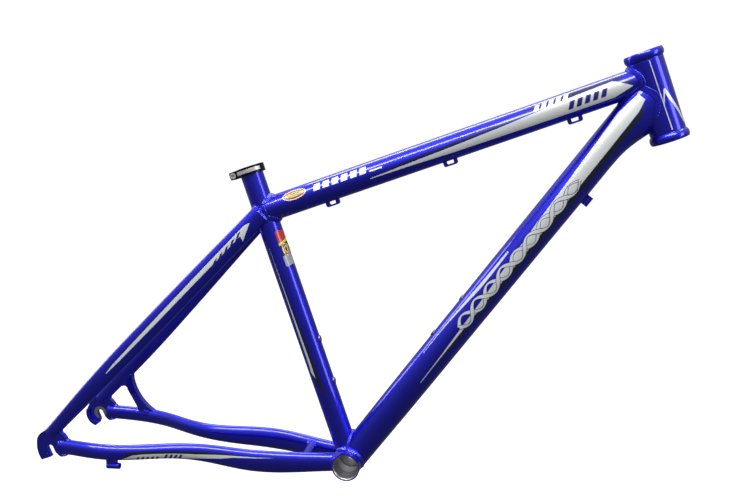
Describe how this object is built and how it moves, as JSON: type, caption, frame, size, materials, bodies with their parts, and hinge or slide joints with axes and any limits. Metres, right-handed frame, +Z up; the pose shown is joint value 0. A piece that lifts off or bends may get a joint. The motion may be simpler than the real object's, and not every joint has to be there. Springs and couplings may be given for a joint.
{
  "type": "bicycle frame",
  "caption": "Hardtail mountain bicycle frame: triangulated welded tubes, curved stays, slotted dropouts, cable guides, bottle threads and a bolted seat clamp.",
  "frame": {"origin": "centre of the bottom bracket shell, on the frame's centre plane", "axes": "+X forwards to the head tube, +Y to the rider's left (the disc side), +Z up as the bicycle stands; the drive side is at negative Y"},
  "size_m": [0.9056, 0.1602, 0.5845],
  "materials": {
    "blue_painted_aluminium": "deep blue gloss candy paint over aluminium",
    "blue_painted_shell": "deep blue gloss candy paint outside, bare machined threads inside",
    "bare_insert": "bare aluminium rivet nut",
    "black_clamp": "black anodised with a silver band on each side",
    "steel_bolt": "plated steel"
  },
  "bodies": {
    "frame": {"head_tube": "blue_painted_aluminium", "top_tube": "blue_painted_aluminium", "down_tube": "blue_painted_aluminium", "seat_tube": "blue_painted_aluminium", "bottom_bracket_shell": "blue_painted_shell", "chainstay_left": "blue_painted_aluminium", "chainstay_right": "blue_painted_aluminium", "seatstay_left": "blue_painted_aluminium", "seatstay_right": "blue_painted_aluminium", "chainstay_bridge": "blue_painted_aluminium", "seatstay_bridge": "blue_painted_aluminium", "dropout_right": "blue_painted_aluminium", "dropout_left": "blue_painted_aluminium", "disc_brace_left": "blue_painted_aluminium", "cable_guide_rear": "blue_painted_aluminium", "cable_guide_middle": "blue_painted_aluminium", "cable_guide_front": "blue_painted_aluminium", "down_tube_cable_stop": "blue_painted_aluminium", "chainstay_cable_stop": "blue_painted_aluminium", "bottle_inserts_down_tube": "bare_insert", "bottle_inserts_seat_tube": "bare_insert"},
    "seat_clamp": {"seat_clamp_collar": "black_clamp"},
    "clamp_bolt": {"seat_clamp_bolt": "steel_bolt"}
  },
  "joints": [
    {"name": "seat_clamp_turn", "type": "hinge", "parent": "frame", "child": "seat_clamp", "pos_m": [-0.12637, 0, 0.4199], "axis": [-0.2882, 0, 0.9576], "continuous": true},
    {"name": "clamp_bolt_turn", "type": "hinge", "parent": "seat_clamp", "child": "clamp_bolt", "pos_m": [-0.14955, 0, 0.41292], "axis": [0, 1, 0], "continuous": true}
  ]
}
